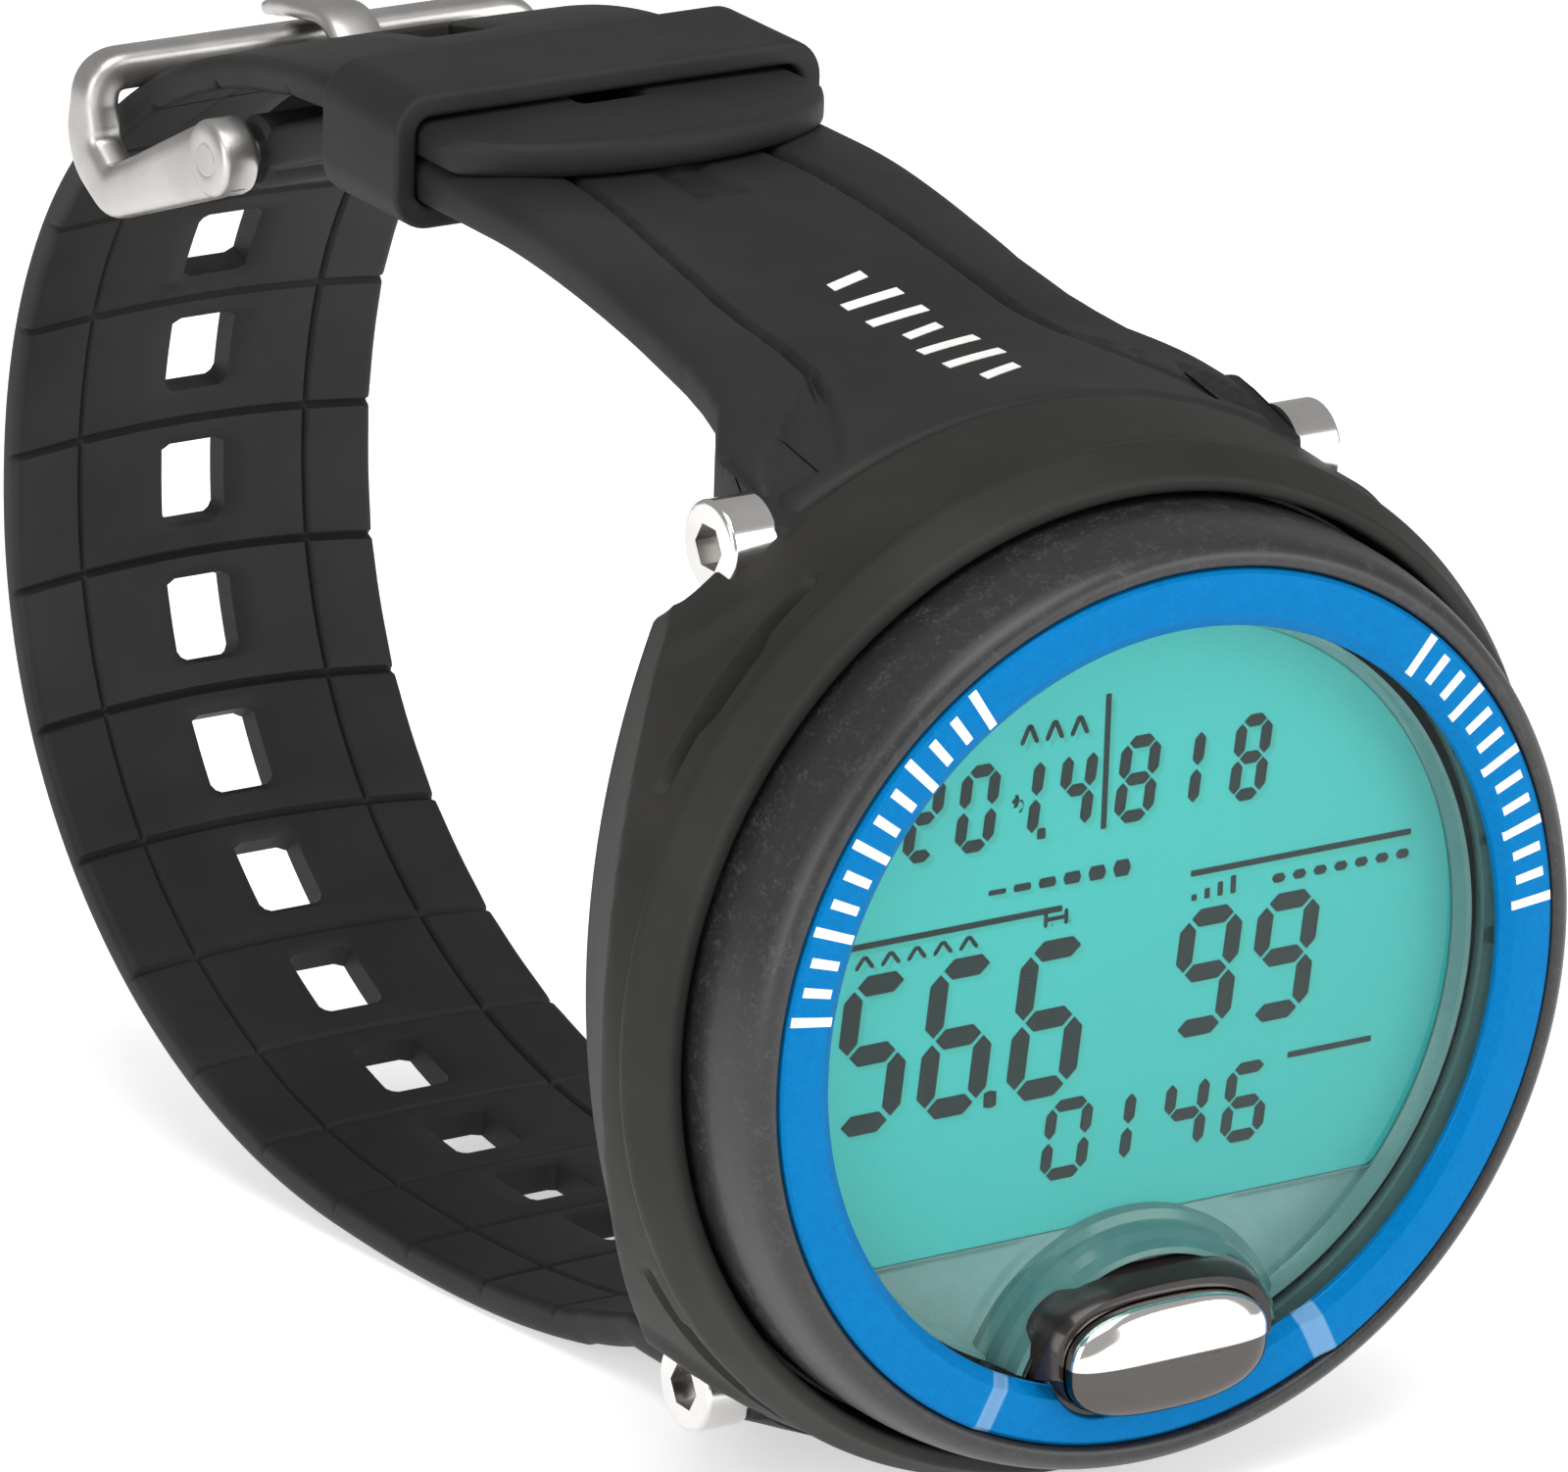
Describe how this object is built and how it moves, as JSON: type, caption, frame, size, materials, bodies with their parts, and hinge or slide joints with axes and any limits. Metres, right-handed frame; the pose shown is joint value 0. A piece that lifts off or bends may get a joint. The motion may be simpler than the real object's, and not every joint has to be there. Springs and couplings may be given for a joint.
{
  "type": "dive computer",
  "caption": "Round wrist dive computer with a push button, a blue trim ring and a closed, buckled rubber strap with keeper.",
  "frame": {"origin": "centre of the case back's outer face, where the computer rests on the wrist", "axes": "-Y is the way the face looks, +Z is 12 o'clock, +X is 3 o'clock; the strap's loop lies on the +Y side"},
  "size_m": [0.0642, 0.1187, 0.0763],
  "materials": {
    "shroud_rubber": "fine matt charcoal rubber",
    "strap_rubber": "fine matt charcoal rubber, faint moulding marks",
    "case_plastic": "black glass-filled nylon",
    "bezel_black": "satin black with a worn grain",
    "trim_blue": "metallic blue with fine flake under clear coat",
    "crystal_clear": "thick clear window",
    "seal_rubber": "black seal rubber",
    "lcd": "teal backlit display with dark segments",
    "window_grey": "grey-green moulding behind the window",
    "white_plastic": "natural white plastic",
    "polished_steel": "polished stainless steel",
    "collar_black": "gloss black",
    "spring_steel": "spring wire",
    "screw_steel": "stainless steel",
    "buckle_steel": "satin bead-blasted stainless steel",
    "board_green": "glass-epoxy board, green solder mask",
    "chip_black": "black epoxy package",
    "contact_brass": "gold-plated spring brass"
  },
  "bodies": {
    "case": {"shroud_ring": "shroud_rubber", "upper_strap": "strap_rubber", "lower_strap": "strap_rubber", "mid_case": "case_plastic", "case_back": "case_plastic", "bezel_ring": "bezel_black", "trim_ring": "trim_blue", "crystal": "crystal_clear", "crystal_gasket": "seal_rubber", "case_back_gasket": "seal_rubber", "lcd_glass": "lcd", "window_mask": "window_grey", "light_guide": "white_plastic", "lcd_frame": "case_plastic", "zebra_connector": "seal_rubber", "button_collar": "collar_black", "button_spring": "spring_steel", "strap_screws": "screw_steel", "case_back_screws": "screw_steel", "board_screws": "screw_steel", "upper_hinge_tube": "screw_steel", "lower_hinge_tube": "screw_steel", "strap_bushes": "white_plastic", "buckle_pin": "buckle_steel", "circuit_board": "board_green", "processor_chip": "chip_black", "memory_chip": "chip_black", "quartz_crystal": "screw_steel", "dome_switch": "chip_black", "buzzer": "chip_black", "pressure_sensor": "screw_steel", "sensor_cover": "case_plastic", "wet_contacts": "screw_steel", "battery_cell": "polished_steel", "battery_contact_base": "contact_brass", "battery_contact_side": "contact_brass"},
    "button": {"button_cap": "polished_steel", "button_oring": "seal_rubber", "button_clip": "spring_steel"},
    "battery_cover_body": {"battery_cover": "case_plastic", "battery_cover_oring": "seal_rubber"},
    "keeper": {"strap_keeper": "strap_rubber"},
    "buckle": {"buckle_frame": "buckle_steel"},
    "tongue": {"buckle_tongue": "buckle_steel"}
  },
  "joints": [
    {"name": "button_press", "type": "slide", "parent": "case", "child": "button", "axis": [0, 1, 0], "range_m": [0, 0.0012], "stiffness_N_per_m": 1200, "springref_m": -0.0008, "deforming": ["button_spring"]},
    {"name": "battery_cover_turn", "type": "hinge", "parent": "case", "child": "battery_cover_body", "pos_m": [0, 0, 0], "axis": [0, 1, 0], "range_deg": [0, 60]},
    {"name": "keeper_slide", "type": "slide", "parent": "case", "child": "keeper", "axis": [0, -1, 0], "range_m": [0, 0.01]},
    {"name": "buckle_swing", "type": "hinge", "parent": "case", "child": "buckle", "pos_m": [0, 0.061, 0.0302], "axis": [1, 0, 0], "range_deg": [0, 10]},
    {"name": "tongue_swing", "type": "hinge", "parent": "buckle", "child": "tongue", "pos_m": [0, 0.061, 0.0302], "axis": [1, 0, 0], "range_deg": [0, 6]}
  ]
}
